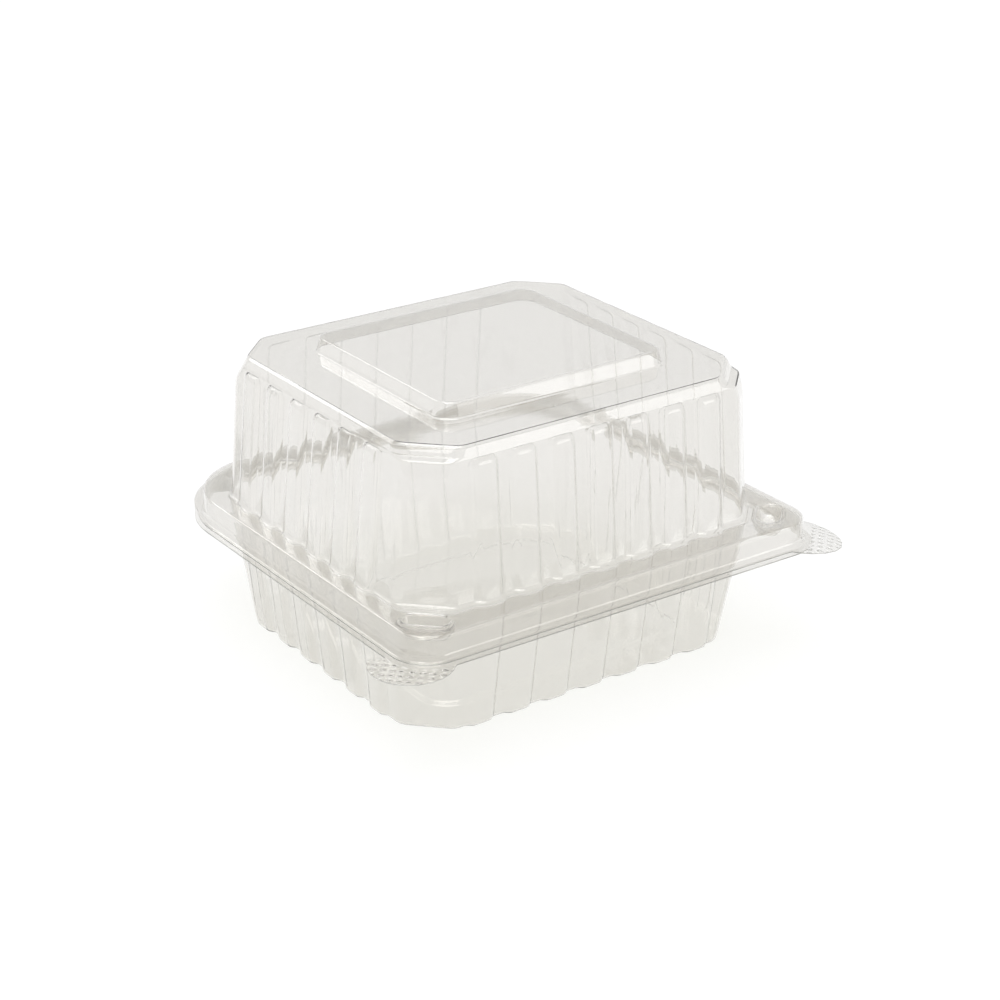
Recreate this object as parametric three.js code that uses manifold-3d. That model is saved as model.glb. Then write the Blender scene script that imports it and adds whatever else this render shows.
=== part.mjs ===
// Clear hinged burger box: a fluted tray and a fluted domed lid, thermoformed from one sheet
// and joined by a crease along the back. Millimetres, +Z up. The origin lies under the middle
// of the closed box, on the surface that it stands on. -Y is the front, +Y the hinge side.
import * as THREE from 'three';
import { mergeVertices } from 'three/addons/utils/BufferGeometryUtils.js';
import Module from 'manifold-3d';

// The sheet, and the free space between the lid and the tray where they nest.
const SHEET = 0.4;
const FIT = 0.3;

// Lid dome, outer surface: half sizes along X and Y, with the leg of the cut corners.
const PANEL = { x: 51.3, y: 46.3, corner: 10.6, z: 76.6 };
const PANEL_EDGE = { x: 52.1, y: 47.1, corner: 11.2, z: 76.0 };
const BEVEL_FOOT = { x: 52.9, y: 47.9, corner: 11.8, z: 73.4 };
const DOME_FOOT = { x: 56.3, y: 50.7, corner: 12.6, z: 36.8 };
const PLATEAU_TOP = { x: 34.4, y: 30.8, corner: 4.2, z: 80.8 };
const PLATEAU_FOOT = { x: 35.3, y: 31.7, corner: 5.1, z: PANEL.z };

// Rim of the lid, outer surface, from the shelf over the rolled edge and down to the lip.
const SHELF_EDGE = { x: 61.9, y: 60.0, corner: 7.4, z: DOME_FOOT.z };
const RIM_HEAD = { x: 62.5, y: 60.6, corner: 8.0, z: 36.2 };
const RIM_FOOT = { x: 63.0, y: 61.1, corner: 8.5, z: 31.4 };
const LIP_ROOT = { x: 63.8, y: 61.9, corner: 9.3, z: 30.3 };
const LIP = { x: 64.6, y: 62.7, corner: 10.1, z: LIP_ROOT.z };
// How much larger the rim's corners are at the hinge side than at the front.
const BACK_CORNER_EXTRA = 15.6;
const TRAY_LIP_EXTRA = 0.9;

// Tray, outer surface. The width of its shelf ties the mouth of the well to the rim.
const TRAY_SHELF = { x: 5.7, y: 8.5, corner: 4.8 };
const TRAY_TOP = {
  x: SHELF_EDGE.x - TRAY_SHELF.x,
  y: SHELF_EDGE.y - TRAY_SHELF.y,
  corner: SHELF_EDGE.corner + TRAY_SHELF.corner,
};
const TRAY_WALL_FOOT = { x: 52.6, y: 46.7, corner: 10.2, z: 0.7 };
const TRAY_FLOOR = { x: 52.1, y: 46.2, corner: 9.9, z: 0 };
const FLOOR_PANEL_FOOT = { x: 41.0, y: 36.5, corner: 8.0, z: 0 };
const FLOOR_PANEL = { x: 40.0, y: 35.5, corner: 7.2, z: 1.2 };

// Upright flutes, rounded and standing out of the walls.
const FLUTE_PITCH = 11.6;
const FLUTE_HALF_WIDTH = 3.9;
const FLUTE_DEPTH = 1.7;
const FLUTE_HEAD_DEPTH = 1.2;
const FLUTE_FOOT_DEPTH = 0.8;
const FLUTE_HEAD_DROP = 0.9;
const SIDE_FLUTE_SHIFT = 1.7;

// Snap pits in the shelf at both front corners, long way parallel to the cut corner.
const PIT_CENTRE = { x: 54.4, y: -51.7 };
const PIT_HALF_LENGTH = 5.9;
const PIT_HALF_WIDTH = 2.9;
const PIT_DRAFT = 0.9;
const PIT_DEPTH = 3.0;

// Thumb tabs at the front corners: the tray's on the left, the lid's on the right.
const TAB_RADIUS = 12.6;
const TAB_CENTRE = { x: 60.0, y: -56.4 };

// Crease of the hinge, and the flat webs that run out to it from both lips.
const FOLD_Y = 69.4;
const WEB_HALF_LENGTH = 62;
const WEB_CORNER = 23.5;
const LIP_OVERLAP = 0.5;

const FLUTE_PROFILE = [[-1, 0], [-0.72, 0.68], [0, 1], [0.72, 0.68], [1, 0]];
const CORNER_STEPS = 6;

// How round a corner is, from a flat cut (0) to a quarter circle (1).
const CUT = 0;
const WALL_BULGE = 0.65;
const FLOOR_BULGE = 0.3;
const ROUND = 1;
const PIT_ARC_STEPS = 6;
const STEP_BACK = 1e-9;

// Corner from the end of one side to the start of the next; quarters 1 and 2 are at the back.
function cornerPoints(section, round, quarter) {
  const points = [];
  const { x, y } = section;
  const corner = quarter === 1 || quarter === 2 ? section.back ?? section.corner : section.corner;
  const angle = quarter * Math.PI / 2;
  const along = quarter % 2 === 0 ? x : y;
  const across = quarter % 2 === 0 ? y : x;
  const steps = round === CUT ? 1 : CORNER_STEPS;
  for (let i = 0; i <= steps; i += 1) {
    const t = i / steps;
    const turn = t * Math.PI / 2;
    const forward = corner * THREE.MathUtils.lerp(t, Math.sin(turn), round);
    const inward = corner * THREE.MathUtils.lerp(t, 1 - Math.cos(turn), round);
    const point = new THREE.Vector2(along - corner + forward, -across + inward);
    points.push(point.rotateAround(new THREE.Vector2(0, 0), angle));
  }
  return points;
}

// As many flutes as the flat part of the tray's floor edge has room for, along X or Y.
function fluteCount(alongX) {
  const flat = 2 * ((alongX ? TRAY_FLOOR.x : TRAY_FLOOR.y) - TRAY_FLOOR.corner);
  const flute = 2 * FLUTE_HALF_WIDTH * FLUTE_PROFILE[FLUTE_PROFILE.length - 1][0];
  const shift = alongX ? 0 : 2 * SIDE_FLUTE_SHIFT;
  return Math.floor((flat - flute - shift) / FLUTE_PITCH) + 1;
}

// Flutes along one side, standing out by depth.
function flutePoints(section, quarter, depth) {
  const points = [];
  const alongX = quarter % 2 === 0;
  const count = fluteCount(alongX);
  const shift = alongX ? 0 : SIDE_FLUTE_SHIFT * (quarter === 1 ? 1 : -1);
  const across = alongX ? section.y : section.x;
  for (let i = 0; i < count; i += 1) {
    const middle = (i - (count - 1) / 2) * FLUTE_PITCH + shift;
    for (const [offset, height] of FLUTE_PROFILE) {
      const point = new THREE.Vector2(middle + offset * FLUTE_HALF_WIDTH, -across - height * depth);
      points.push(point.rotateAround(new THREE.Vector2(0, 0), quarter * Math.PI / 2));
    }
  }
  return points;
}

// Closed outline of one section, counterclockwise seen from above.
function ring(section, { fluted = false, round = CUT, depth = 0 } = {}) {
  const points = [];
  for (let quarter = 0; quarter < 4; quarter += 1) {
    if (fluted) points.push(...flutePoints(section, quarter, depth));
    points.push(...cornerPoints(section, round, quarter));
  }
  return points.map((point) => new THREE.Vector3(point.x, point.y, section.z));
}

// Section moved square to a profile by distance, as the other face of a sheet.
function moved(section, normal, distance, round) {
  const out = normal.x * distance;
  const cornerShift = out * THREE.MathUtils.lerp(2 - Math.SQRT2, 1, round);
  return {
    ...section,
    x: section.x + out,
    y: section.y + out,
    z: section.z + normal.y * distance,
    corner: section.corner + cornerShift,
    back: (section.back ?? section.corner) + cornerShift,
  };
}

// Mitred normals along a profile of sections that runs outwards from the middle.
function profileNormals(sections) {
  const edges = [];
  for (let i = 1; i < sections.length; i += 1) {
    const run = sections[i].x - sections[i - 1].x;
    const rise = sections[i].z - sections[i - 1].z;
    edges.push(new THREE.Vector2(-rise, run).normalize());
  }
  return sections.map((section, i) => {
    const before = edges[Math.max(i - 1, 0)];
    const after = edges[Math.min(i, edges.length - 1)];
    return before.clone().add(after).divideScalar(1 + before.dot(after));
  });
}

// Stadium outline of a snap pit; side is -1 for the left corner and 1 for the right one.
function pitRing(side, grow, z) {
  const path = new THREE.Path();
  const reach = PIT_HALF_LENGTH - PIT_HALF_WIDTH;
  const radius = PIT_HALF_WIDTH + grow;
  path.absarc(reach, 0, radius, -Math.PI / 2, Math.PI / 2, false);
  path.absarc(-reach, 0, radius, Math.PI / 2, Math.PI * 3 / 2, false);
  const points = path.getPoints(PIT_ARC_STEPS / 2);
  const lean = side * Math.PI / 4;
  return points.map((point) => {
    const turned = point.clone().rotateAround(new THREE.Vector2(0, 0), lean);
    return new THREE.Vector3(turned.x + side * PIT_CENTRE.x, turned.y + PIT_CENTRE.y, z);
  });
}

// Triangle mesh gathered ring by ring.
class Sheet {
  constructor() {
    this.points = [];
    this.triangles = [];
  }

  add(points) {
    const first = this.points.length;
    this.points.push(...points);
    return points.map((point, i) => first + i);
  }

  face(a, b, c, up) {
    this.triangles.push(...(up ? [a, b, c] : [a, c, b]));
  }

  // Band between two rings with equal counts, inner one first.
  band(inner, outer, up) {
    for (let i = 0; i < inner.length; i += 1) {
      const next = (i + 1) % inner.length;
      this.face(inner[i], outer[i], outer[next], up);
      this.face(inner[i], outer[next], inner[next], up);
    }
  }

  // Band between two rings with different counts, joined in the order of their bearings.
  bridge(inner, outer, up) {
    const bearing = (id) => Math.atan2(this.points[id].y, this.points[id].x);
    const start = bearing(outer[0]);
    const turned = (id) => (bearing(id) - start + Math.PI * 4 + STEP_BACK) % (Math.PI * 2);
    const inside = [...inner].sort((a, b) => turned(a) - turned(b));
    const outside = [...outer].sort((a, b) => turned(a) - turned(b));
    let i = 0;
    let j = 0;
    while (i < inside.length || j < outside.length) {
      const here = inside[i % inside.length];
      const there = outside[j % outside.length];
      const nextIn = i < inside.length ? turned(inside[i]) : Infinity;
      const nextOut = j < outside.length ? turned(outside[j]) : Infinity;
      const a = i === 0 ? inside[inside.length - 1] : inside[i - 1];
      const b = j === 0 ? outside[outside.length - 1] : outside[j - 1];
      if (nextIn < nextOut) {
        this.face(a, b, here, up);
        i += 1;
      } else {
        this.face(a, b, there, up);
        j += 1;
      }
    }
  }

  // Flat area inside the outer ring, around the holes.
  flat(outer, holes, up) {
    const flatten = (ids) => ids.map((id) => new THREE.Vector2(this.points[id].x, this.points[id].y));
    const holeIds = holes.map((hole) => [...hole].reverse());
    const ids = [...outer, ...holeIds.flat()];
    const faces = THREE.ShapeUtils.triangulateShape(flatten(outer), holeIds.map(flatten));
    for (const [a, b, c] of faces) this.face(ids[a], ids[b], ids[c], up);
  }

  geometry() {
    const geometry = new THREE.BufferGeometry();
    const values = this.points.flatMap((point) => point.toArray());
    geometry.setAttribute('position', new THREE.Float32BufferAttribute(values, 3));
    geometry.setIndex(this.triangles);
    return geometry;
  }
}

// Closed shell: the given profile is one face of the sheet, and the other one lies
// a sheet's thickness from it, towards side (1 above the profile, -1 below it).
function shell(profile, side, pits) {
  const normals = profileNormals(profile.map((step) => step.section));
  const sheet = new Sheet();
  const rims = [];
  for (const offset of [0, side * SHEET]) {
    const up = offset === 0 ? side < 0 : side > 0;
    let last = null;
    profile.forEach((step, i) => {
      const outline = moved(step.section, normals[i], offset, step.round ?? CUT);
      const ids = sheet.add(ring(outline, step));
      if (last === null) {
        sheet.flat(ids, [], up);
      } else if (last.length === ids.length) {
        sheet.band(last, ids, up);
      } else if (step.pits) {
        const brinks = pits.map((pit) => addPit(sheet, pit, offset, up));
        sheet.flat(ids, [last, ...brinks], up);
      } else {
        sheet.bridge(last, ids, up);
      }
      last = ids;
    });
    rims.push(last);
  }
  sheet.band(rims[0], rims[1], side < 0);
  return sheet.geometry();
}

// One snap pit in a shelf; it gives back the ring that the shelf ends on.
function addPit(sheet, pit, offset, up) {
  const grow = pit.grow - offset;
  const brink = sheet.add(pitRing(pit.side, grow, pit.z + offset));
  const bed = sheet.add(pitRing(pit.side, grow - PIT_DRAFT, pit.z - PIT_DEPTH + offset));
  sheet.band(bed, brink, up);
  sheet.flat(bed, [], up);
  return brink;
}

const wasm = await Module();
wasm.setup();

function toSolid(geometry) {
  const plain = geometry.clone();
  plain.deleteAttribute('normal');
  plain.deleteAttribute('uv');
  const merged = mergeVertices(plain);
  return new wasm.Manifold(new wasm.Mesh({
    numProp: 3,
    vertProperties: new Float32Array(merged.attributes.position.array),
    triVerts: new Uint32Array(merged.index.array),
  }));
}

function toGeometry(solid) {
  const mesh = solid.getMesh();
  const geometry = new THREE.BufferGeometry();
  geometry.setAttribute('position', new THREE.BufferAttribute(new Float32Array(mesh.vertProperties), 3));
  geometry.setIndex([...mesh.triVerts]);
  geometry.computeVertexNormals();
  return geometry;
}

// Flat piece of sheet with its upper face at top, outside the outline of keepOut.
function plate(shape, top, keepOut) {
  const slab = new THREE.ExtrudeGeometry(shape, { depth: SHEET, bevelEnabled: false, curveSegments: 18 });
  slab.translate(0, 0, top - SHEET);
  const outline = ring(keepOut, { round: ROUND }).map((point) => new THREE.Vector2(point.x, point.y));
  const core = new THREE.ExtrudeGeometry(new THREE.Shape(outline), { depth: 4 * SHEET, bevelEnabled: false });
  core.translate(0, 0, top - 2.5 * SHEET);
  return toSolid(slab).subtract(toSolid(core));
}

function tabShape(side) {
  const shape = new THREE.Shape();
  shape.absarc(side * TAB_CENTRE.x, TAB_CENTRE.y, TAB_RADIUS, 0, Math.PI * 2, false);
  return shape;
}

// Hinge web from inside the lip out to the crease, with rounded outer corners.
function webShape() {
  const end = FOLD_Y - FIT / 2;
  const shape = new THREE.Shape();
  shape.moveTo(-WEB_HALF_LENGTH, 0);
  shape.lineTo(WEB_HALF_LENGTH, 0);
  shape.lineTo(WEB_HALF_LENGTH, end - WEB_CORNER);
  shape.absarc(WEB_HALF_LENGTH - WEB_CORNER, end - WEB_CORNER, WEB_CORNER, 0, Math.PI / 2, false);
  shape.absarc(-WEB_HALF_LENGTH + WEB_CORNER, end - WEB_CORNER, WEB_CORNER, Math.PI / 2, Math.PI, false);
  shape.closePath();
  return shape;
}

// The tray's rim follows the lid's at the distance of the lid's sheet and the free space.
const rim = [SHELF_EDGE, RIM_HEAD, RIM_FOOT, LIP_ROOT, LIP]
  .map((section) => ({ ...section, back: section.corner + BACK_CORNER_EXTRA }));
const rimNormals = profileNormals([DOME_FOOT, ...rim]).slice(1);
const nested = rim.map((section, i) => moved(section, rimNormals[i], -(2 * SHEET + FIT), ROUND));
const trayLip = nested[nested.length - 1];
nested[nested.length - 1] = {
  ...trayLip,
  x: trayLip.x + TRAY_LIP_EXTRA,
  y: trayLip.y + TRAY_LIP_EXTRA,
  corner: trayLip.corner + TRAY_LIP_EXTRA,
  back: trayLip.back + TRAY_LIP_EXTRA,
};

const fluteHead = {
  ...BEVEL_FOOT,
  x: BEVEL_FOOT.x + (DOME_FOOT.x - BEVEL_FOOT.x) * FLUTE_HEAD_DROP / (BEVEL_FOOT.z - DOME_FOOT.z),
  y: BEVEL_FOOT.y + (DOME_FOOT.y - BEVEL_FOOT.y) * FLUTE_HEAD_DROP / (BEVEL_FOOT.z - DOME_FOOT.z),
  z: BEVEL_FOOT.z - FLUTE_HEAD_DROP,
};

const lidProfile = [
  { section: PLATEAU_TOP, round: ROUND },
  { section: PLATEAU_FOOT, round: ROUND },
  { section: PANEL },
  { section: PANEL_EDGE },
  { section: BEVEL_FOOT, fluted: true, round: WALL_BULGE },
  { section: fluteHead, fluted: true, round: WALL_BULGE, depth: FLUTE_HEAD_DEPTH },
  { section: DOME_FOOT, fluted: true, round: WALL_BULGE, depth: FLUTE_DEPTH },
  { section: rim[0], round: ROUND, pits: true },
  ...rim.slice(1).map((section) => ({ section, round: ROUND })),
];
const lidPits = [-1, 1].map((side) => ({ side, z: SHELF_EDGE.z, grow: 0 }));

const trayProfile = [
  { section: FLOOR_PANEL, round: ROUND },
  { section: FLOOR_PANEL_FOOT, round: ROUND },
  { section: TRAY_FLOOR, fluted: true, round: FLOOR_BULGE, depth: FLUTE_FOOT_DEPTH },
  { section: TRAY_WALL_FOOT, fluted: true, round: FLOOR_BULGE, depth: FLUTE_FOOT_DEPTH },
  { section: { ...TRAY_TOP, z: nested[0].z }, fluted: true, round: WALL_BULGE, depth: FLUTE_DEPTH },
  { section: nested[0], round: ROUND, pits: true },
  ...nested.slice(1).map((section) => ({ section, round: ROUND })),
];
const trayPits = [-1, 1].map((side) => ({ side, z: nested[0].z, grow: 2 * SHEET + FIT }));

const lidKeepOut = moved(rim[rim.length - 1], new THREE.Vector2(1, 0), -LIP_OVERLAP, ROUND);
const lidSolid = toSolid(shell(lidProfile, -1, lidPits))
  .add(plate(tabShape(1), LIP.z, lidKeepOut))
  .add(plate(webShape(), LIP.z, lidKeepOut));

const trayLipEnd = nested[nested.length - 1];
const trayKeepOut = moved(trayLipEnd, new THREE.Vector2(1, 0), -LIP_OVERLAP, ROUND);
const traySolid = toSolid(shell(trayProfile, 1, trayPits))
  .add(plate(tabShape(-1), trayLipEnd.z + SHEET, trayKeepOut))
  .add(plate(webShape(), trayLipEnd.z + SHEET, trayKeepOut));

function clearSheet(name) {
  return new THREE.MeshStandardMaterial({
    name,
    color: 0xdfe1dc,
    roughness: 0.08,
    metalness: 0,
    transparent: true,
    opacity: 0.35,
  });
}

const tray = new THREE.Mesh(toGeometry(traySolid), clearSheet('clear_tray_sheet'));
tray.name = 'tray';
const lid = new THREE.Mesh(toGeometry(lidSolid), clearSheet('clear_lid_sheet'));
lid.name = 'lid';

const burgerBox = new THREE.Group();
burgerBox.name = 'burger_box';
burgerBox.add(tray, lid);

export default burgerBox;
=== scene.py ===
"""Clear hinged burger box: fluted tray and domed lid of thin clear sheet, on a pale floor."""

import math

import bmesh
import bpy
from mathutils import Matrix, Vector
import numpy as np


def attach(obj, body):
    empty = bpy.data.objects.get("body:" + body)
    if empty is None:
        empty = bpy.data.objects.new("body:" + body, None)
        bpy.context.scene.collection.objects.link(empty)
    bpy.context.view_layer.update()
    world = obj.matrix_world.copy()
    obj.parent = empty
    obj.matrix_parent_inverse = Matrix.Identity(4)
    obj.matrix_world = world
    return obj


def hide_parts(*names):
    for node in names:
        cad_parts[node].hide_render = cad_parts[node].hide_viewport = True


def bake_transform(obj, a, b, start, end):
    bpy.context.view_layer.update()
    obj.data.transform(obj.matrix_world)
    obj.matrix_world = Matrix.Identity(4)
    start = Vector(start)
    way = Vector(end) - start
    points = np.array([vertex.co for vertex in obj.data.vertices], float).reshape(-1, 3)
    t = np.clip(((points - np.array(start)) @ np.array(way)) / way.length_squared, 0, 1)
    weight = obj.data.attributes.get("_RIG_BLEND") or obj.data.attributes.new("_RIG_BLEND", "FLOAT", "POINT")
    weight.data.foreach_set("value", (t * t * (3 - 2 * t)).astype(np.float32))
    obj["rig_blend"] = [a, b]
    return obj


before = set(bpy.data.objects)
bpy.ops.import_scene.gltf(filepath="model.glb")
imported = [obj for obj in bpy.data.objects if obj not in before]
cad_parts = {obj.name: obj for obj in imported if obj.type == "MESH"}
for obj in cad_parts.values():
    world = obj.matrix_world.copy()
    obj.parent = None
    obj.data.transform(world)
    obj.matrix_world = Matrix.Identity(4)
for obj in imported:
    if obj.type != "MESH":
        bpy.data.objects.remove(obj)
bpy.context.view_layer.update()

bl_info = {
    "name": "Clear burger box",
    "version": (1, 0, 0),
    "blender": (4, 5, 0),
    "location": "View3D > Sidebar > Burger box",
    "description": "Builds a clear thermoformed burger box with a hinged lid, a floor and soft light",
    "category": "Object",
}

# every size of the box is in millimetres, and MM makes it metres
MM = 0.001


def step(x, y, corner, z, ease=0.0, rounded=False, flute=0.0, extra=0.0):
    """One line of the formed profile: x and y are half sizes, and corner is the leg of the
    corner, at the hinge side larger by extra. The corner is an arc when it is rounded, and cut
    flat otherwise. ease is how far before and after the line the sheet starts to turn."""
    return {"x": x, "y": y, "corner": corner, "back": corner + extra, "z": z, "ease": ease,
            "round": 1.0 if rounded else 0.0, "flute": flute, "width": 1.0}


# from the plateau over the panel, its bevel and the ledge under it down to the dome's foot
LID_STEPS = [
    step(31.0, 27.6, 2.6, 80.8, 0.0, True),
    step(34.4, 30.8, 4.2, 80.8, 0.7, True),
    step(35.3, 31.7, 5.1, 76.7, 0.6, True),
    step(38.0, 34.0, 6.5, 76.7, 0.0, True),
    step(47.5, 42.5, 9.6, 76.7, 0.0),
    step(51.3, 46.3, 11.0, 76.7, 0.15, extra=-1.2),
    step(52.1, 47.0, 11.5, 76.05, 0.15, extra=-0.8),
    step(52.6, 47.5, 10.9, 74.1, 0.15, extra=-0.7),
    step(52.9, 47.8, 8.6, 73.4, 0.2, extra=1.6),
    step(53.3, 48.2, 7.8, 69.5, 1.2),
    step(56.3, 50.7, 10.6, 36.8, 0.8, False, 1.5),
]
BACK_EXTRA = 15.6
# the shelf's outer line, the foot of its skirt, and the lip
RIM_STEPS = [
    step(62.8, 60.8, 8.0, 36.8, 0.8, True, extra=BACK_EXTRA),
    step(63.1, 61.1, 8.5, 31.4, 0.5, True, extra=BACK_EXTRA),
    step(63.8, 61.9, 9.3, 30.3, 0.3, True, extra=BACK_EXTRA),
    step(64.6, 62.7, 10.1, 30.3, 0.0, True, extra=BACK_EXTRA),
]
# how far the tray's rim lies under the lid's, square to the sheet, and how much further its
# lip reaches
NEST_GAP = 1.1
TRAY_LIP_EXTRA = 0.9
# from the raised floor panel over the standing edge up to the wall's head
TRAY_STEPS = [
    step(34.0, 30.0, 4.0, 1.2, 0.0, True),
    step(40.0, 35.5, 7.2, 1.2, 0.6, True),
    step(41.0, 36.5, 8.0, 0.08, 0.6, True),
    step(45.5, 40.5, 8.0, 0.08, 0.0, True),
    step(52.4, 46.4, 10.1, 0.08, 1.0, False, 1.3),
    step(56.2, 51.5, 9.6, 35.7, 0.8, False, 1.5),
]
# rows that the walls have between their creases
LID_WALL_ROWS = (40.0, 47.0, 55.0, 63.0)
TRAY_WALL_ROWS = (4.0, 8.0, 14.0, 20.0, 26.0, 31.0)
# a row that is nearer than this to another is left out
ROW_CLEARANCE = 0.05
FLUTE_PITCH = 11.6
FLUTE_HALF_WIDTH = 4.5
# how much of the half width a flank takes, and how much of the depth the crest's dome has
FLUTE_FLANK = 0.5
FLUTE_CREST = 0.16
# flutes of the front and back, and of the sides, where they lie a little nearer the hinge
FLUTES_ALONG = (7, 6)
SIDE_FLUTE_SHIFT = 1.7
FLUTE_DEPTH = 1.5
# the lid's flutes are shallower at their head, grow deeper over a run, and end in an arch
FLUTE_HEAD_TOP = 73.3
FLUTE_HEAD_RISE = 2.0
FLUTE_HEAD_ROWS = (0, 0.03, 0.09, 0.18, 0.3, 0.48, 0.7, 1.0)
FLUTE_HEAD_DEPTH = 1.25
FLUTE_HEAD_WIDTH = 0.6
FLUTE_DEPTH_RUN = 37.0
# rearmost line and height of the rolled fold along the hinge
FOLD_Y = 69.25
FOLD_Z = 29.75
FOLD_RADIUS = 1.15
FOLD_THICKNESS = 0.3
FOLD_CLEARANCE = 0.02
FOLD_TURNS = 16
# the fold's film is rolled round from under the tray's web to over the lid's
FOLD_HALF_SWEEP = math.pi * 0.62
FOLD_OVERHANG = 0.5
WEB_HALF_LENGTH = 62.0
WEB_CORNER = 23.5
# how far before the fold the flat part of the web ends
WEB_SETBACK = 1.3
# a tab's round end, and the point inside the corner that it is spread from
TAB_CENTRE = (61.9, -56.8)
TAB_RADIUS = 10.7
TAB_ROOT = (56.0, -60.0)
TAB_START_Y = -51.4
TAB_ROWS = 14
# a lip that is carried on by less than this stays as it is
LEAST_SPREAD = 0.05
# how far the tip of the lid's tab (1) and of the tray's (-1) hangs below its lip
TAB_DROOP = {1: 2.0, -1: 0.3}
# how far out on the corner's diagonal the knurl starts, on the lid's tab (1) and the tray's (-1)
KNURL_START = {1: 86.7, -1: 0.0}
KNURL_PITCH = 2.4
KNURL_HEIGHT = 0.18
# length and height of the waves that forming leaves in the sheet
WAVE_LENGTH = 23.8
WAVE_HEIGHT = 0.6
PIT_CENTRE = (54.4, -51.7)
PIT_HALF_LENGTH = 5.9
PIT_HALF_WIDTH = 2.9
PIT_DRAFT = 0.9
PIT_DEPTH = 3.0
PIT_EASE = 0.45
# a pit's section from its brink to its bed: how far outside its outline, and how far down
PIT_SECTION = (
    (PIT_EASE, 0.0),
    (PIT_EASE * 0.55, 0.06),
    (PIT_EASE * 0.2, 0.22),
    (0.0, 0.5),
    (-PIT_DRAFT * 0.8, PIT_DEPTH - 0.55),
    (-PIT_DRAFT - 0.12, PIT_DEPTH - 0.16),
    (-PIT_DRAFT - 0.5, PIT_DEPTH),
)
PIT_TURNS = 10
CORNER_POINTS = 16
# share of a cut corner's points, and of its leg, that each of its two eased creases takes
CREASE_POINTS = 0.25
CREASE_EASE = 0.16
# flat wall that is left beside the outermost flutes
FLUTE_ROOM = 0.3
# points between the outermost flutes and the corners, which the lip's tabs start from
END_POINTS = 7
# where a flute's section has its points, as shares of its half width
FLUTE_SAMPLES = (-1.0, -0.93, -0.86, -0.79, -0.72, -0.65, -0.57, -0.48, -0.25, 0.0,
                 0.25, 0.48, 0.57, 0.65, 0.72, 0.79, 0.86, 0.93, 1.0)
# faces that meet at less than this are shaded as one
SMOOTH_ANGLE = math.radians(40)

# The photograph's viewpoint, in degrees, metres and pixels of a square image.
CAMERA_AZIMUTH = -34.914
CAMERA_ELEVATION = 23.53
CAMERA_DISTANCE = 0.636513
CAMERA_TARGET = (-0.0004, 0, 0.040)
IMAGE_SIZE = 1000
FOCAL_LENGTH = 2378.855
LENS_AXIS = (486.527, 485.253)
SENSOR_WIDTH = 36.0

# Softboxes: name, place in metres, width in degrees as the box sees it, and strength.
SOFTBOXES = (
    ("top_softbox", (0.0, 0.05, 1.0), 46, 1.35),
    ("key_softbox", (-0.45, -0.3, 0.85), 20, 0.35),
    ("front_softbox", (0.525, -0.84, 0.14), 24, 0.2),
    ("back_softbox", (-0.236, 0.752, 0.615), 24, 0.3),
)


def linear(code):
    """An sRGB hex colour as linear red, green, blue and 1."""
    parts = [int(code[i:i + 2], 16) / 255 for i in (1, 3, 5)]
    return tuple(p / 12.92 if p <= 0.04045 else ((p + 0.055) / 1.055) ** 2.4 for p in parts) + (1.0,)


def add_node(tree, kind, settings=None, inputs=None, links=None):
    """Adds one shader node with its settings, socket values and incoming links."""
    node = tree.nodes.new(kind)
    for name, value in (settings or {}).items():
        setattr(node, name, value)
    for name, value in (inputs or {}).items():
        node.inputs[name].default_value = value
    for name, source in (links or {}).items():
        tree.links.new(source, node.inputs[name])
    return node


def new_material(name):
    """An empty material with nodes, and its node tree."""
    material = bpy.data.materials.new(name)
    material.use_nodes = True
    material.node_tree.nodes.clear()
    return material, material.node_tree


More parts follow.
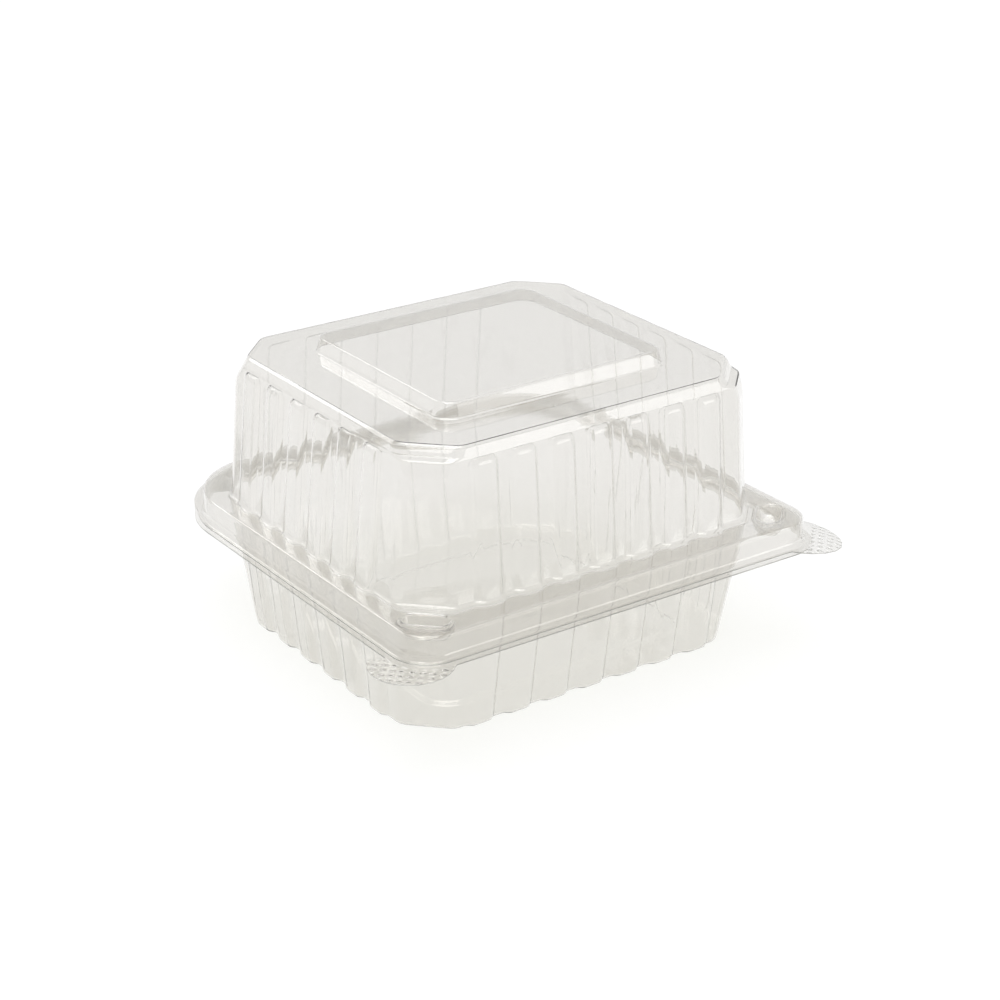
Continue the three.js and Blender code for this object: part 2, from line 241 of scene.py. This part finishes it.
def formed_pet(name, colour, edge):
    """Thermoformed clear PET: a glossy thin sheet that is nearly colourless face on, and greyer
    where it is seen edge on, partly from the longer way through the sheet and partly as painted
    shade that stands in for the dark lines at its creases and flute flanks. It has the faint
    waviness that forming leaves. The thumb tabs are knurled with small pips. Light that falls
    through the sheet keeps the floor under it pale."""
    material, tree = new_material(name)
    place = add_node(tree, "ShaderNodeTexCoord")
    wave = add_node(tree, "ShaderNodeTexNoise",
                    inputs={"Scale": 1 / (WAVE_LENGTH * MM), "Detail": 2.0, "Roughness": 0.45},
                    links={"Vector": place.outputs["Object"]})
    pull = add_node(tree, "ShaderNodeBump", inputs={"Strength": 0.10, "Distance": WAVE_HEIGHT * MM},
                    links={"Height": wave.outputs["Fac"]})
    # pips of the knurl in a square grid that lies along the diagonal of the front corners
    turned_place = add_node(tree, "ShaderNodeMapping",
                            inputs={"Rotation": (0.0, 0.0, math.pi / 4)},
                            links={"Vector": place.outputs["Object"]})
    pips = add_node(tree, "ShaderNodeTexVoronoi", {"voronoi_dimensions": "2D"},
                    inputs={"Scale": 1 / (KNURL_PITCH * MM), "Randomness": 0.12},
                    links={"Vector": turned_place.outputs["Vector"]})
    dome = add_node(tree, "ShaderNodeMapRange", {"interpolation_type": "SMOOTHSTEP"},
                    inputs={"From Min": 0.5, "From Max": 0.1},
                    links={"Value": pips.outputs["Distance"]})
    where = add_node(tree, "ShaderNodeAttribute", {"attribute_name": "knurl"})
    rise = add_node(tree, "ShaderNodeMath", {"operation": "MULTIPLY"})
    tree.links.new(dome.outputs["Result"], rise.inputs[0])
    tree.links.new(where.outputs["Fac"], rise.inputs[1])
    knurled = add_node(tree, "ShaderNodeBump",
                       inputs={"Strength": 1.0, "Distance": KNURL_HEIGHT * MM},
                       links={"Height": rise.outputs["Value"], "Normal": pull.outputs["Normal"]})
    # painted shade: the base colour turns from the face tint to the greyer edge tint where the sheet is seen
    # edge on, for the dark lines at creases and flute flanks; a little of it is the longer way through the
    # sheet
    edge_shade_mask = add_node(tree, "ShaderNodeLayerWeight", inputs={"Blend": 0.22},
                      links={"Normal": knurled.outputs["Normal"]})
    tint = add_node(tree, "ShaderNodeMix", {"data_type": "RGBA"},
                    links={"Factor": edge_shade_mask.outputs["Facing"]})
    tint.inputs[6].default_value = linear(colour)
    tint.inputs[7].default_value = linear(edge)
    sheet = add_node(tree, "ShaderNodeBsdfPrincipled",
                     inputs={"Roughness": 0.035, "IOR": 1.57, "Transmission Weight": 1.0},
                     links={"Base Color": tint.outputs[2], "Normal": knurled.outputs["Normal"]})
    # light reaches the floor through the sheet, which takes a little of it
    path = add_node(tree, "ShaderNodeLightPath")
    soft = add_node(tree, "ShaderNodeMath", {"operation": "MAXIMUM"})
    tree.links.new(path.outputs["Is Shadow Ray"], soft.inputs[0])
    tree.links.new(path.outputs["Is Diffuse Ray"], soft.inputs[1])
    passed = add_node(tree, "ShaderNodeBsdfTransparent", inputs={"Color": linear("#FCFCFB")})
    either = add_node(tree, "ShaderNodeMixShader", links={"Fac": soft.outputs["Value"]})
    tree.links.new(sheet.outputs["BSDF"], either.inputs[1])
    tree.links.new(passed.outputs["BSDF"], either.inputs[2])
    add_node(tree, "ShaderNodeOutputMaterial", links={"Surface": either.outputs["Shader"]})
    return material


def cut_edge():
    """The die-cut edge of the sheet: roughened and milky, which draws a pale grey line round
    the lips and the tabs."""
    material, tree = new_material("cut_pet_edge")
    milky = add_node(tree, "ShaderNodeBsdfPrincipled",
                     inputs={"Base Color": linear("#C9C8C3"), "Roughness": 0.45, "IOR": 1.57})
    through = add_node(tree, "ShaderNodeBsdfTransparent", inputs={"Color": linear("#F3F3F2")})
    half = add_node(tree, "ShaderNodeMixShader", inputs={"Fac": 0.35})
    tree.links.new(milky.outputs["BSDF"], half.inputs[1])
    tree.links.new(through.outputs["BSDF"], half.inputs[2])
    add_node(tree, "ShaderNodeOutputMaterial", links={"Surface": half.outputs["Shader"]})
    return material


def eased_crease(before, crease, after, t):
    """The point at share t of a curve that turns from one straight into the next."""
    return tuple((1 - t) ** 2 * a + 2 * t * (1 - t) * b + t * t * c
                 for a, b, c in zip(before, crease, after))


def corner_points(section, quarter):
    """The corner after one side, from a flat cut with eased ends to a plain arc."""
    x, y, rounding = section["x"], section["y"], section["round"]
    corner = section["back"] if quarter in (1, 2) else section["corner"]
    along, across = (x, y) if quarter % 2 == 0 else (y, x)
    ease = corner * CREASE_EASE
    far = corner - ease
    points = []
    for i in range(CORNER_POINTS + 1):
        t = i / CORNER_POINTS
        turn = t * math.pi / 2
        arc = (corner * math.sin(turn), corner * (1 - math.cos(turn)))
        if t < CREASE_POINTS:
            cut = eased_crease((-ease, 0.0), (0.0, 0.0), (ease, ease), t / CREASE_POINTS)
        elif t > 1 - CREASE_POINTS:
            cut = eased_crease((far, far), (corner, corner), (corner, corner + ease),
                               (t - 1 + CREASE_POINTS) / CREASE_POINTS)
        else:
            value = ease + (far - ease) * (t - CREASE_POINTS) / (1 - 2 * CREASE_POINTS)
            cut = (value, value)
        out, up = (c + (a - c) * rounding for c, a in zip(cut, arc))
        points.append((along - corner + out, -across + up))
    return [turned(p, quarter) for p in points]


def turned(point, quarter):
    """A point turned round the middle by a number of quarter turns."""
    x, y = point
    for _ in range(quarter):
        x, y = -y, x
    return x, y


def flute_height(offset, width):
    """Height of a flute, as a share, at an offset: two smooth flanks and a nearly flat crest."""
    if width <= 1e-6 or abs(offset) >= width:
        return 0.0
    t = abs(offset / width)
    rise = min(1.0, (1 - t) / FLUTE_FLANK)
    return (1 - FLUTE_CREST) * rise * rise * (3 - 2 * rise) + FLUTE_CREST * (1 - t * t)


def side_points(section, quarter):
    """One side with its flutes, from one corner to the next."""
    along_x = quarter % 2 == 0
    count = FLUTES_ALONG[0] if along_x else FLUTES_ALONG[1]
    shift = 0 if along_x else SIDE_FLUTE_SHIFT * (1 if quarter == 1 else -1)
    across = section["y"] if along_x else section["x"]
    depth, width = section["flute"], section["width"]
    # a short side draws the flutes' places together, so that they end before its corner
    along = section["x"] if along_x else section["y"]
    eased_share = 1 + CREASE_EASE * (1 - section["round"])
    start = along - section["back" if quarter in (2, 3) else "corner"] * eased_share
    end = along - section["back" if quarter in (1, 2) else "corner"] * eased_share
    flat = min(start, end) - FLUTE_ROOM
    half_run = (count - 1) / 2 * FLUTE_PITCH + FLUTE_HALF_WIDTH
    draw = min(1.0, flat / (half_run + abs(shift)))
    first, last = (shift - half_run) * draw, (shift + half_run) * draw
    shares = [(i + 0.5) / END_POINTS for i in range(END_POINTS)]
    points = [turned((-start + (first + start) * s, -across), quarter) for s in shares]
    for i in range(count):
        middle = (i - (count - 1) / 2) * FLUTE_PITCH + shift
        for offset in FLUTE_SAMPLES:
            out = depth * flute_height(offset, width)
            place = (middle + offset * FLUTE_HALF_WIDTH) * draw
            points.append(turned((place, -across - out), quarter))
        if i < count - 1:
            points.append(turned(((middle + FLUTE_PITCH / 2) * draw, -across), quarter))
    points += [turned((last + (end - last) * s, -across), quarter) for s in shares]
    return points


def outline(section):
    """The closed outline of a section, side by side and corner by corner."""
    points = []
    for quarter in range(4):
        points += side_points(section, quarter)
        points += corner_points(section, quarter)
    return points


def blend_sections(a, b, t):
    """The section at share t of the way from a to b."""
    return {key: a[key] + (b[key] - a[key]) * t for key in a}


def toward(a, b, distance):
    """The section at a distance from a on the way to b."""
    length = math.hypot(b["x"] - a["x"], b["z"] - a["z"])
    return blend_sections(a, b, min(distance / length, 0.5) if length > 1e-9 else 0.0)


def eased(steps, turns=4):
    """The profile with each line between two faces rounded over its ease."""
    made = [steps[0]]
    for before, here, after in zip(steps, steps[1:], steps[2:]):
        if here["ease"] <= 0:
            made.append(here)
            continue
        start, end = toward(here, before, here["ease"]), toward(here, after, here["ease"])
        for i in range(turns + 1):
            t = i / turns
            made.append(blend_sections(blend_sections(start, here, t), blend_sections(here, end, t), t))
    made.append(steps[-1])
    return made


def with_rows(sections, heights):
    """Adds rows at given heights to the steep parts of a profile."""
    made = [sections[0]]
    for a, b in zip(sections, sections[1:]):
        low, high = sorted((a["z"], b["z"]))
        inside = [h for h in heights if low + ROW_CLEARANCE < h < high - ROW_CLEARANCE]
        for h in sorted(inside, reverse=a["z"] > b["z"]):
            made.append(blend_sections(a, b, (h - a["z"]) / (b["z"] - a["z"])))
        made.append(b)
    return made


def moved(steps, distance):
    """The steps moved square to the profile, down or inwards."""
    edges = []
    for a, b in zip(steps, steps[1:]):
        run, rise = b["x"] - a["x"], b["z"] - a["z"]
        length = math.hypot(run, rise)
        edges.append((-rise / length, run / length) if length > 1e-6 else edges[-1])
    made = []
    for i, here in enumerate(steps):
        n1, n2 = edges[max(i - 1, 0)], edges[min(i, len(edges) - 1)]
        share = 1 + n1[0] * n2[0] + n1[1] * n2[1]
        out, up = (n1[0] + n2[0]) / share * distance, (n1[1] + n2[1]) / share * distance
        new = dict(here)
        new["x"] -= out
        new["y"] -= out
        # an arc's leg loses the whole step, and a flat cut's only what keeps its wall even
        for key in ("corner", "back"):
            new[key] -= out * (1.0 if here["round"] > 0.5 else 2 - math.sqrt(2))
        new["z"] -= up
        made.append(new)
    return made


def lip_reach(point, tab_side):
    """The point of the sheet's outer edge that a point of the lip is carried on to."""
    x, y = point
    if x * tab_side > 0 and y < TAB_START_Y:
        # the tab is spread from a point inside the corner out to its round outline
        root_x, root_y = TAB_ROOT[0] * tab_side, TAB_ROOT[1]
        off_x, off_y = root_x - TAB_CENTRE[0] * tab_side, root_y - TAB_CENTRE[1]
        way_x, way_y = x - root_x, y - root_y
        a = way_x * way_x + way_y * way_y
        b = off_x * way_x + off_y * way_y
        c = off_x * off_x + off_y * off_y - TAB_RADIUS ** 2
        share = (-b + math.sqrt(b * b - a * c)) / a
        return (root_x + way_x * share, root_y + way_y * share) if share > 1 else point
    length = math.hypot(x, y)
    ux, uy = x / length, y / length
    reach = length
    if uy > 0:
        # the web ends in a straight line along the fold, and in an arc at either end
        back = FOLD_Y - WEB_SETBACK
        straight = WEB_HALF_LENGTH - WEB_CORNER
        if abs(ux / uy) * back <= straight:
            reach = max(reach, back / uy)
        else:
            cx, cy = math.copysign(straight, ux), back - WEB_CORNER
            along = ux * cx + uy * cy
            gap = WEB_CORNER ** 2 - (cx * cx + cy * cy - along * along)
            if gap > 0 and (along + math.sqrt(gap)) * uy > cy:
                reach = max(reach, along + math.sqrt(gap))
    return ux * reach, uy * reach


def pit_outline(side, grow):
    """Stadium outline of a snap pit, its long way parallel to the cut corner."""
    reach, radius = PIT_HALF_LENGTH - PIT_HALF_WIDTH, PIT_HALF_WIDTH + grow
    points = []
    for end, start in ((1, -math.pi / 2), (-1, math.pi / 2)):
        for i in range(PIT_TURNS + 1):
            angle = start + math.pi * i / PIT_TURNS
            points.append((end * reach + radius * math.cos(angle), radius * math.sin(angle)))
    lean = side * math.pi / 4
    c, s = math.cos(lean), math.sin(lean)
    return [(p[0] * c - p[1] * s + side * PIT_CENTRE[0], p[0] * s + p[1] * c + PIT_CENTRE[1])
            for p in points]


def add_ring(mesh, points, z):
    """Vertices at a height, from points in millimetres."""
    return [mesh.verts.new((x * MM, y * MM, z * MM)) for x, y in points]


def add_band(mesh, inner, outer, material=0):
    """Faces between two closed rings of as many vertices."""
    for i in range(len(inner)):
        j = (i + 1) % len(inner)
        mesh.faces.new((inner[i], outer[i], outer[j], inner[j])).material_index = material


def fill_shelf(mesh, rings):
    """Fills a flat area between closed rings of vertices."""
    edges = []
    for ring in rings:
        for i in range(len(ring)):
            a, b = ring[i], ring[(i + 1) % len(ring)]
            edges.append(mesh.edges.get((a, b)) or mesh.edges.new((a, b)))
    bmesh.ops.triangle_fill(mesh, use_beauty=True, use_dissolve=False, edges=edges)


def sheet_face(mesh, sections, shelf, pits, tab_side, drop):
    """One face of a formed sheet: rings from the middle out to the lip and its tab."""
    last = None
    for i, section in enumerate(sections):
        ring = add_ring(mesh, outline(section), section["z"])
        if last is None:
            mesh.faces.new(ring)
        elif i == shelf:
            brinks = [add_pit(mesh, side, grow + drop, section["z"]) for side, grow in pits]
            fill_shelf(mesh, [last, ring, *brinks])
        else:
            add_band(mesh, last, ring)
        last = ring
    return spread_lip(mesh, last, tab_side)


def spread_lip(mesh, ring, tab_side):
    """Carries the lip on, in its own plane, over the thumb tab and the hinge's web; returns
    the sheet's outer edge. The knurl attribute is 1 where the tab is knurled."""
    knurl = mesh.verts.layers.float["knurl"]
    base = [(v.co.x / MM, v.co.y / MM) for v in ring]
    ends = [lip_reach(point, tab_side) for point in base]
    z = ring[0].co.z / MM
    knurl_start = KNURL_START[tab_side]
    edge = list(ring)
    for turn in range(1, TAB_ROWS + 1):
        share = turn / TAB_ROWS
        outer = []
        for old, q, e in zip(edge, base, ends):
            if math.hypot(e[0] - q[0], e[1] - q[1]) < LEAST_SPREAD:
                outer.append(old)
                continue
            x, y = q[0] + (e[0] - q[0]) * share, q[1] + (e[1] - q[1]) * share
            out = math.hypot(x - q[0], y - q[1]) / TAB_RADIUS
            hang = TAB_DROOP[tab_side] * out * out if y < 0 else 0.0
            vert = add_ring(mesh, [(x, y)], z - hang)[0]
            vert[knurl] = 1.0 if y < 0 and (abs(x) - y) / math.sqrt(2) > knurl_start else 0.0
            outer.append(vert)
        for i in range(len(edge)):
            j = (i + 1) % len(edge)
            corners = list(dict.fromkeys((edge[i], outer[i], outer[j], edge[j])))
            if len(corners) > 2:
                mesh.faces.new(corners)
        edge = outer
    return edge


def sheet_mesh(sections, shelf, pits, tab_side, thickness):
    """Both faces of a formed sheet, closed along its cut edge. A negative thickness puts the
    second face on the other side of the first."""
    mesh = bmesh.new()
    mesh.verts.layers.float.new("knurl")
    first = sheet_face(mesh, sections, shelf, pits, tab_side, 0.0)
    second = sheet_face(mesh, moved(sections, thickness), shelf, pits, tab_side, thickness)
    add_band(mesh, first, second, 1)
    bmesh.ops.recalc_face_normals(mesh, faces=mesh.faces)
    return mesh


def add_pit(mesh, side, grow, z):
    """One snap pit with eased brink and bed; returns the ring that the shelf ends on."""
    brink = last = None
    for out, down in PIT_SECTION:
        ring = add_ring(mesh, pit_outline(side, grow + out), z - down)
        if brink is None:
            brink = ring
        else:
            add_band(mesh, ring, last)
        last = ring
    mesh.faces.new(last)
    return brink


def finish_sheet(name, mesh, material, body, node):
    """Smooths the sheet's faces, and lets it stand for its CAD node."""
    data = bpy.data.meshes.new(name)
    mesh.to_mesh(data)
    mesh.free()
    piece = bpy.data.objects.new(name, data)
    bpy.context.collection.objects.link(piece)
    only(piece)
    bpy.ops.object.shade_smooth_by_angle(angle=SMOOTH_ANGLE)
    piece.data.materials.append(material)
    piece.data.materials.append(bpy.data.materials.get("cut_pet_edge") or cut_edge())
    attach(piece, body)
    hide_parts(node)


def only(piece):
    """Selects a piece alone and makes it active."""
    bpy.ops.object.select_all(action="DESELECT")
    piece.select_set(True)
    bpy.context.view_layer.objects.active = piece


class SheetSettings(bpy.types.PropertyGroup):
    """Thickness and tints of the clear sheet"""
    thickness: bpy.props.FloatProperty(
        name="Thickness", description="Thickness of the formed sheet",
        default=0.3 * MM, min=0.2 * MM, max=0.4 * MM, precision=5, unit="LENGTH")
    face: bpy.props.StringProperty(
        name="Face tint", description="Tint of the sheet seen face on", default="#F3F2F0")
    # the edge tint is partly painted shade, for the dark lines at creases and flute flanks
    edge: bpy.props.StringProperty(
        name="Edge tint", description="Tint of the sheet seen edge on", default="#E8E7E4")


class StageSettings(bpy.types.PropertyGroup):
    """Colour of the stage"""
    floor: bpy.props.StringProperty(
        name="Floor", description="Colour of the floor", default="#F2F2F2")


def shared_material(context):
    """The clear sheet's material, made once for all pieces."""
    settings = context.scene.burger_box_sheet
    return (bpy.data.materials.get("thermoformed_clear_pet")
            or formed_pet("thermoformed_clear_pet", settings.face, settings.edge))


class BURGERBOX_OT_lid(bpy.types.Operator):
    """Builds the domed lid with its raised panel, flutes, snap pits, rim and tab"""
    bl_idname = "burgerbox.lid"
    bl_label = "Build lid"

    def execute(self, context):
        thickness = context.scene.burger_box_sheet.thickness / MM
        foot = LID_STEPS[-1]["z"]
        middle = (foot + FLUTE_HEAD_TOP) / 2
        head_rows = [FLUTE_HEAD_TOP - FLUTE_HEAD_RISE * share for share in FLUTE_HEAD_ROWS]
        sections = with_rows(eased(LID_STEPS + RIM_STEPS), [*head_rows, *LID_WALL_ROWS])
        for section in sections:
            below = FLUTE_HEAD_TOP - section["z"]
            if below <= 0:
                section["flute"] = 0.0
            elif section["z"] > foot + ROW_CLEARANCE:
                arch = math.sqrt(1 - (1 - min(1.0, below / FLUTE_HEAD_RISE)) ** 2)
                growth = (FLUTE_DEPTH - FLUTE_HEAD_DEPTH) * below / FLUTE_DEPTH_RUN
                section["flute"] = (FLUTE_HEAD_DEPTH + growth) * arch
                section["width"] = FLUTE_HEAD_WIDTH + (1 - FLUTE_HEAD_WIDTH) * arch
        # the dome keeps its cut corners down to its foot, and the rim starts at the shelf
        shelf = next(i for i, s in enumerate(sections) if s["round"] > 0.5 and s["z"] < middle)
        for section in sections[shelf:]:
            section["flute"], section["round"] = 0.0, 1.0
        for section in sections[:shelf]:
            if section["z"] < middle:
                section["round"] = 0.0
        mesh = sheet_mesh(sections, shelf, [(-1, 0.0), (1, 0.0)], 1, thickness)
        finish_sheet("lid_sheet", mesh, shared_material(context), "lid", "lid")
        return {"FINISHED"}


class BURGERBOX_OT_tray(bpy.types.Operator):
    """Builds the fluted tray with its floor panel, snap pits, rim and tab"""
    bl_idname = "burgerbox.tray"
    bl_label = "Build tray"

    def execute(self, context):
        thickness = context.scene.burger_box_sheet.thickness / MM
        rim = moved([LID_STEPS[-1], *RIM_STEPS], NEST_GAP)[1:]
        for key in ("x", "y", "corner", "back"):
            rim[-1][key] += TRAY_LIP_EXTRA
        sections = with_rows(eased(TRAY_STEPS + rim), TRAY_WALL_ROWS)
        middle = TRAY_STEPS[-1]["z"] / 2
        floor_edge = TRAY_STEPS[-3]["x"]
        # the wall keeps its cut corners up to its head, and the rim starts at the shelf
        shelf = next(i for i, s in enumerate(sections) if s["round"] > 0.5 and s["z"] > middle)
        for section in sections[shelf:]:
            section["flute"], section["round"] = 0.0, 1.0
        for section in sections[:shelf]:
            if section["x"] > floor_edge:
                section["round"] = 0.0
            if section["z"] > TRAY_WALL_ROWS[0] - 1:
                section["flute"] = FLUTE_DEPTH
        mesh = sheet_mesh(sections, shelf, [(-1, NEST_GAP), (1, NEST_GAP)], -1, -thickness)
        finish_sheet("tray_sheet", mesh, shared_material(context), "tray", "tray")
        return {"FINISHED"}


class BURGERBOX_OT_fold(bpy.types.Operator):
    """Builds the rolled fold of film that joins both webs along the back"""
    bl_idname = "burgerbox.fold"
    bl_label = "Build hinge fold"

    def execute(self, context):
        centre_y = FOLD_Y - FOLD_RADIUS - FOLD_CLEARANCE
        half = WEB_HALF_LENGTH - WEB_CORNER + FOLD_OVERHANG
        mesh = bmesh.new()
        rings = []
        for i in range(FOLD_TURNS + 1):
            angle = FOLD_HALF_SWEEP * (2 * i / FOLD_TURNS - 1)
            ring = []
            for radius, side in ((FOLD_RADIUS - FOLD_THICKNESS, 1), (FOLD_RADIUS, -1)):
                y, z = centre_y + radius * math.cos(angle), FOLD_Z + radius * math.sin(angle)
                ring += [mesh.verts.new((x * side * MM, y * MM, z * MM)) for x in (-half, half)]
            rings.append(ring)
        for a, b in zip(rings, rings[1:]):
            add_band(mesh, a, b)
        mesh.faces.new(rings[0])
        mesh.faces.new(rings[-1])
        bmesh.ops.recalc_face_normals(mesh, faces=mesh.faces)
        data = bpy.data.meshes.new("hinge_fold")
        mesh.to_mesh(data)
        mesh.free()
        piece = bpy.data.objects.new("hinge_fold", data)
        context.collection.objects.link(piece)
        only(piece)
        bpy.ops.object.shade_smooth_by_angle(angle=SMOOTH_ANGLE)
        data.materials.append(shared_material(context))
        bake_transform(piece, "tray", "lid", (0, centre_y * MM, (FOLD_Z - FOLD_RADIUS) * MM),
                 (0, centre_y * MM, (FOLD_Z + FOLD_RADIUS) * MM))
        return {"FINISHED"}


class BURGERBOX_OT_stage(bpy.types.Operator):
    """Adds the floor, the soft lights, the world and the camera"""
    bl_idname = "burgerbox.stage"
    bl_label = "Build stage"

    def execute(self, context):
        scene = context.scene
        bpy.ops.object.select_all(action="DESELECT")
        bpy.ops.mesh.primitive_plane_add(size=6.0, location=(0, 0, 0))
        floor = context.object
        floor.name = "floor"
        floor.data.materials.append(floor_paper(scene.burger_box_stage.floor))
        world_light(scene)
        for softbox in SOFTBOXES:
            add_light(*softbox)
        add_camera(scene)
        return {"FINISHED"}


def floor_paper(colour):
    """White sweep paper: matte, and read as plain white by the camera and through the box,
    while it still takes the box's soft shadow."""
    material, tree = new_material("white_sweep_paper")
    paper = add_node(tree, "ShaderNodeBsdfDiffuse", inputs={"Color": linear(colour)})
    add_node(tree, "ShaderNodeOutputMaterial", links={"Surface": paper.outputs["BSDF"]})
    return material


def world_light(scene):
    """The bright white room round the box."""
    world = bpy.data.worlds.new("studio_world")
    scene.world = world
    world.use_nodes = True
    tree = world.node_tree
    tree.nodes.clear()
    path = add_node(tree, "ShaderNodeLightPath")
    # white where it is seen, or seen through the box, and dimmer as light and in the gloss
    seen = add_node(tree, "ShaderNodeMath", {"operation": "MAXIMUM"})
    tree.links.new(path.outputs["Is Camera Ray"], seen.inputs[0])
    tree.links.new(path.outputs["Is Transmission Ray"], seen.inputs[1])
    base = add_node(tree, "ShaderNodeMapRange", inputs={"To Min": 0.6, "To Max": 0.68},
                    links={"Value": path.outputs["Is Glossy Ray"]})
    strength = add_node(tree, "ShaderNodeMapRange", inputs={"To Max": 1.0},
                        links={"Value": seen.outputs["Value"], "To Min": base.outputs["Result"]})
    light = add_node(tree, "ShaderNodeBackground", inputs={"Color": linear("#FFFFFF")},
                     links={"Strength": strength.outputs["Result"]})
    add_node(tree, "ShaderNodeOutputWorld", links={"Surface": light.outputs["Background"]})


def add_light(name, place, width, strength):
    """A far soft lamp, which lights the floor evenly and is seen as a disc in the gloss."""
    data = bpy.data.lights.new(name, "SUN")
    data.angle = math.radians(width)
    data.energy = strength
    light = bpy.data.objects.new(name, data)
    bpy.context.collection.objects.link(light)
    light.location = place
    light.rotation_euler = Vector(place).to_track_quat("Z", "Y").to_euler()


def add_camera(scene):
    """The viewpoint: in front and to the left, slightly above the lid, with a long lens."""
    azimuth, elevation = math.radians(CAMERA_AZIMUTH), math.radians(CAMERA_ELEVATION)
    back = Vector((math.sin(azimuth) * math.cos(elevation), -math.cos(azimuth) * math.cos(elevation),
                   math.sin(elevation)))
    data = bpy.data.cameras.new("camera")
    camera = bpy.data.objects.new("camera", data)
    bpy.context.collection.objects.link(camera)
    camera.location = Vector(CAMERA_TARGET) + back * CAMERA_DISTANCE
    camera.rotation_euler = (-back).to_track_quat("-Z", "Y").to_euler()
    data.sensor_width = SENSOR_WIDTH
    data.lens = SENSOR_WIDTH * FOCAL_LENGTH / IMAGE_SIZE
    data.shift_x = 0.5 - LENS_AXIS[0] / IMAGE_SIZE
    data.shift_y = LENS_AXIS[1] / IMAGE_SIZE - 0.5
    data.clip_start, data.clip_end = 0.01, 50.0
    scene.camera = camera


class BURGERBOX_PT_panel(bpy.types.Panel):
    """Lists the pieces of the burger box"""
    bl_idname = "BURGERBOX_PT_panel"
    bl_label = "Burger box"
    bl_space_type = "VIEW_3D"
    bl_region_type = "UI"
    bl_category = "Burger box"

    def draw(self, context):
        layout = self.layout
        sheet, stage = context.scene.burger_box_sheet, context.scene.burger_box_stage
        for name in ("thickness", "face", "edge"):
            layout.prop(sheet, name)
        layout.prop(stage, "floor")
        for operator in (BURGERBOX_OT_lid, BURGERBOX_OT_tray, BURGERBOX_OT_fold, BURGERBOX_OT_stage):
            layout.operator(operator.bl_idname)


CLASSES = (SheetSettings, StageSettings, BURGERBOX_OT_lid, BURGERBOX_OT_tray,
           BURGERBOX_OT_fold, BURGERBOX_OT_stage, BURGERBOX_PT_panel)


def register():
    for cls in CLASSES:
        bpy.utils.register_class(cls)
    bpy.types.Scene.burger_box_sheet = bpy.props.PointerProperty(type=SheetSettings)
    bpy.types.Scene.burger_box_stage = bpy.props.PointerProperty(type=StageSettings)


def unregister():
    del bpy.types.Scene.burger_box_stage
    del bpy.types.Scene.burger_box_sheet
    for cls in reversed(CLASSES):
        bpy.utils.unregister_class(cls)


def allow_bounces(scene):
    """Lets light that is led along inside the sheet be reflected until it leaves, because a
    path that is cut short leaves a black mark."""
    scene.cycles.max_bounces = 64
    scene.cycles.transmission_bounces = 48
    scene.cycles.glossy_bounces = 48
    scene.cycles.transparent_max_bounces = 32


def main():
    """Builds every piece and the stage."""
    register()
    bpy.ops.burgerbox.lid()
    bpy.ops.burgerbox.tray()
    bpy.ops.burgerbox.fold()
    bpy.ops.burgerbox.stage()
    scene = bpy.context.scene
    scene.view_settings.view_transform = "Standard"
    allow_bounces(scene)


if __name__ == "__main__":
    main()
